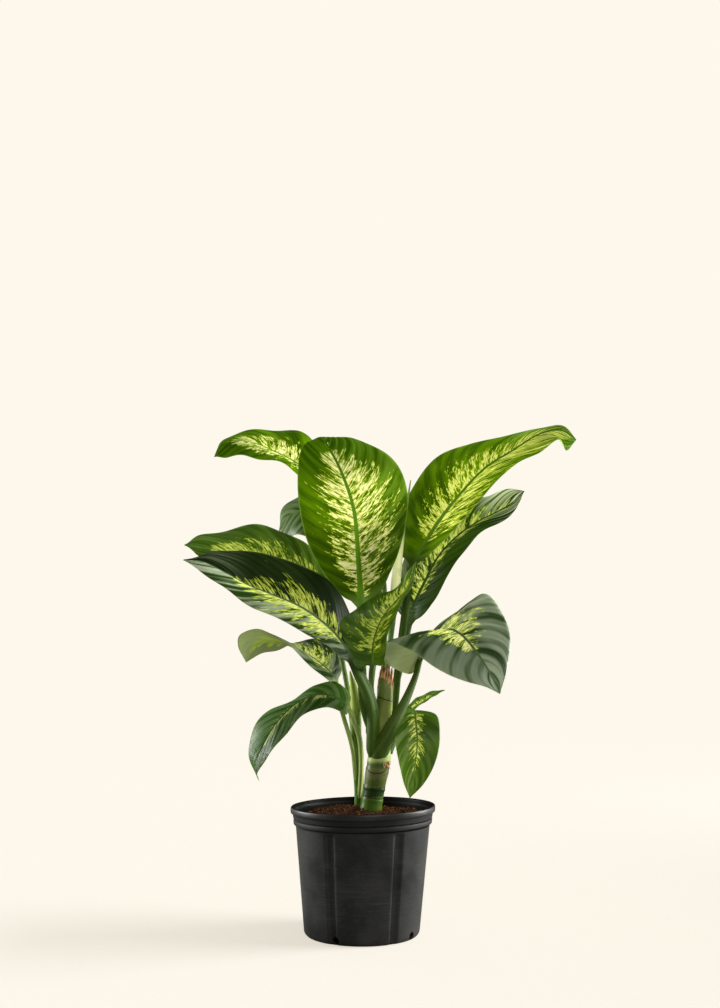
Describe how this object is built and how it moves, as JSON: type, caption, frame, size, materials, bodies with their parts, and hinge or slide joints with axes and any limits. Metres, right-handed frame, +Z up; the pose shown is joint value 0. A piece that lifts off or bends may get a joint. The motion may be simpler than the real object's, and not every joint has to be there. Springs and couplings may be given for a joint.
{
  "type": "potted dieffenbachia",
  "caption": "Dieffenbachia house plant with broad cream-splashed leaves on arching stalks, rooted in soil in a plain black nursery pot.",
  "frame": {"origin": "near the middle of the pot's underside, on the plane it stands on", "axes": "+Z up; the pictured side faces -Y; +X is to the right in the picture"},
  "size_m": [0.7166, 0.3666, 0.9281],
  "materials": {
    "pot_plastic": "satin",
    "soil": "matte",
    "cane": "satin",
    "shoot": "satin",
    "new_leaf": "satin",
    "leaf_bright": "satin",
    "leaf_deep": "satin"
  },
  "bodies": {
    "root": {"pot": "pot_plastic", "soil": "soil", "main_cane": "cane", "left_shoot": "shoot", "new_rolled_leaf": "new_leaf", "leaf_tall_centre": "leaf_bright", "leaf_upper_left": "leaf_bright", "leaf_upper_right": "leaf_bright", "leaf_mid_right": "leaf_deep", "leaf_mid_left": "leaf_deep", "leaf_front_left": "leaf_deep", "leaf_back_left": "leaf_deep", "leaf_front_centre": "leaf_deep", "leaf_right": "leaf_deep", "leaf_lower_left": "leaf_deep", "leaf_low_left": "leaf_deep", "leaf_low_right": "leaf_deep", "leaf_edge_right": "leaf_deep"}
  },
  "joints": []
}
